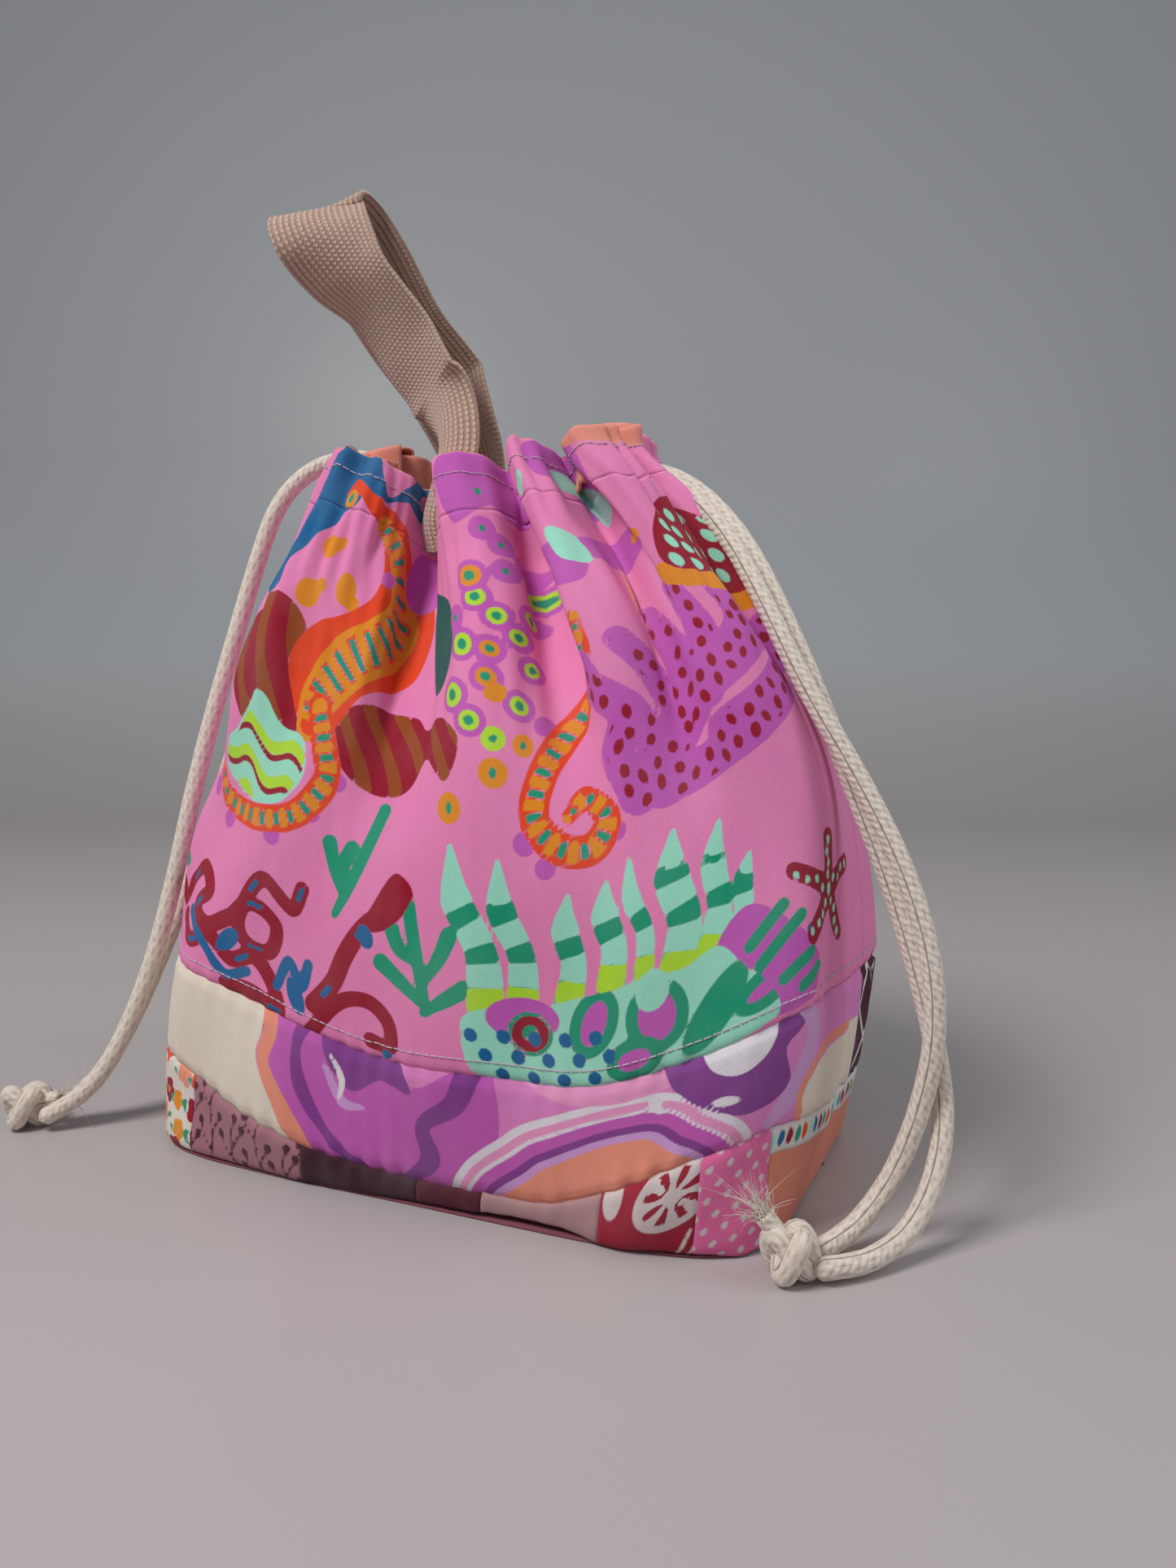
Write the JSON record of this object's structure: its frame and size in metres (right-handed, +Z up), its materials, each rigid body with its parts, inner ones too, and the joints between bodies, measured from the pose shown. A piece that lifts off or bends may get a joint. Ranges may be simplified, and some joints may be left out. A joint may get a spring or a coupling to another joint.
{
  "type": "drawstring knitting bag",
  "caption": "Patchwork cotton drawstring bag with a boxed base, a gathered neck, knotted cotton drawcords and a webbing carrying loop.",
  "frame": {"origin": "centre of the base, on the surface that the bag stands on", "axes": "+Z up through the gathered neck, -Y out of the front with the dipped seams, +X to the right of that front"},
  "size_m": [0.3161, 0.1598, 0.3071],
  "materials": {
    "printed_cotton": "matt plain-weave cotton with a coloured print",
    "marbled_cotton": "matt cotton with a marbled print",
    "lattice_cotton": "matt cotton, dark with a pale lattice",
    "floral_cotton": "matt cotton with small flowers",
    "berry_cotton": "matt cotton with dark sprigs",
    "aubergine_cotton": "matt cotton",
    "wine_cotton": "matt textured cotton",
    "beige_cotton": "matt cotton",
    "crimson_cotton": "matt cotton with a white print",
    "dotted_cotton": "matt cotton with light dots",
    "oval_cotton": "matt cotton with coloured ovals",
    "peach_cotton": "matt plain cotton",
    "lilac_cotton": "matt cotton",
    "cream_cotton": "matt cotton",
    "base_cotton": "matt plain cotton",
    "lining_cotton": "matt plain cotton",
    "cotton_cord": "matt braided cotton",
    "webbing": "satin woven polypropylene"
  },
  "bodies": {
    "bag": {"base_panel": "base_cotton", "front_band": "marbled_cotton", "back_band": "lattice_cotton", "front_panel": "printed_cotton", "back_panel": "printed_cotton", "front_lining": "lining_cotton", "back_lining": "lining_cotton", "lining_base": "lining_cotton", "front_channel": "printed_cotton", "back_channel": "printed_cotton", "patch_floral": "floral_cotton", "patch_berry": "berry_cotton", "patch_aubergine": "aubergine_cotton", "patch_wine": "wine_cotton", "patch_beige": "beige_cotton", "patch_crimson": "crimson_cotton", "patch_dotted": "dotted_cotton", "patch_peach": "peach_cotton", "oval_strip": "oval_cotton", "back_patch_lilac": "lilac_cotton", "back_patch_berry": "berry_cotton", "back_patch_cream": "cream_cotton", "back_patch_crimson": "crimson_cotton", "left_cord_in_channel": "cotton_cord", "right_cord_in_channel": "cotton_cord", "handle_front_end": "webbing", "handle_rear_end": "webbing"},
    "handle": {"handle_webbing": "webbing"},
    "left_drawcord": {"left_cord_front": "cotton_cord", "left_cord_rear": "cotton_cord", "left_knot": "cotton_cord"},
    "right_drawcord": {"right_cord_front": "cotton_cord", "right_cord_rear": "cotton_cord", "right_knot": "cotton_cord"}
  },
  "joints": [
    {"name": "handle_swing", "type": "hinge", "parent": "bag", "child": "handle", "pos_m": [-0.017, 0.004, 0.233], "axis": [0, 1, 0], "range_deg": [-34, 72]},
    {"name": "left_pull", "type": "slide", "parent": "bag", "child": "left_drawcord", "axis": [-1, 0, 0], "range_m": [0, 0.013]},
    {"name": "right_pull", "type": "slide", "parent": "bag", "child": "right_drawcord", "axis": [1, 0, 0], "range_m": [0, 0.013]}
  ]
}
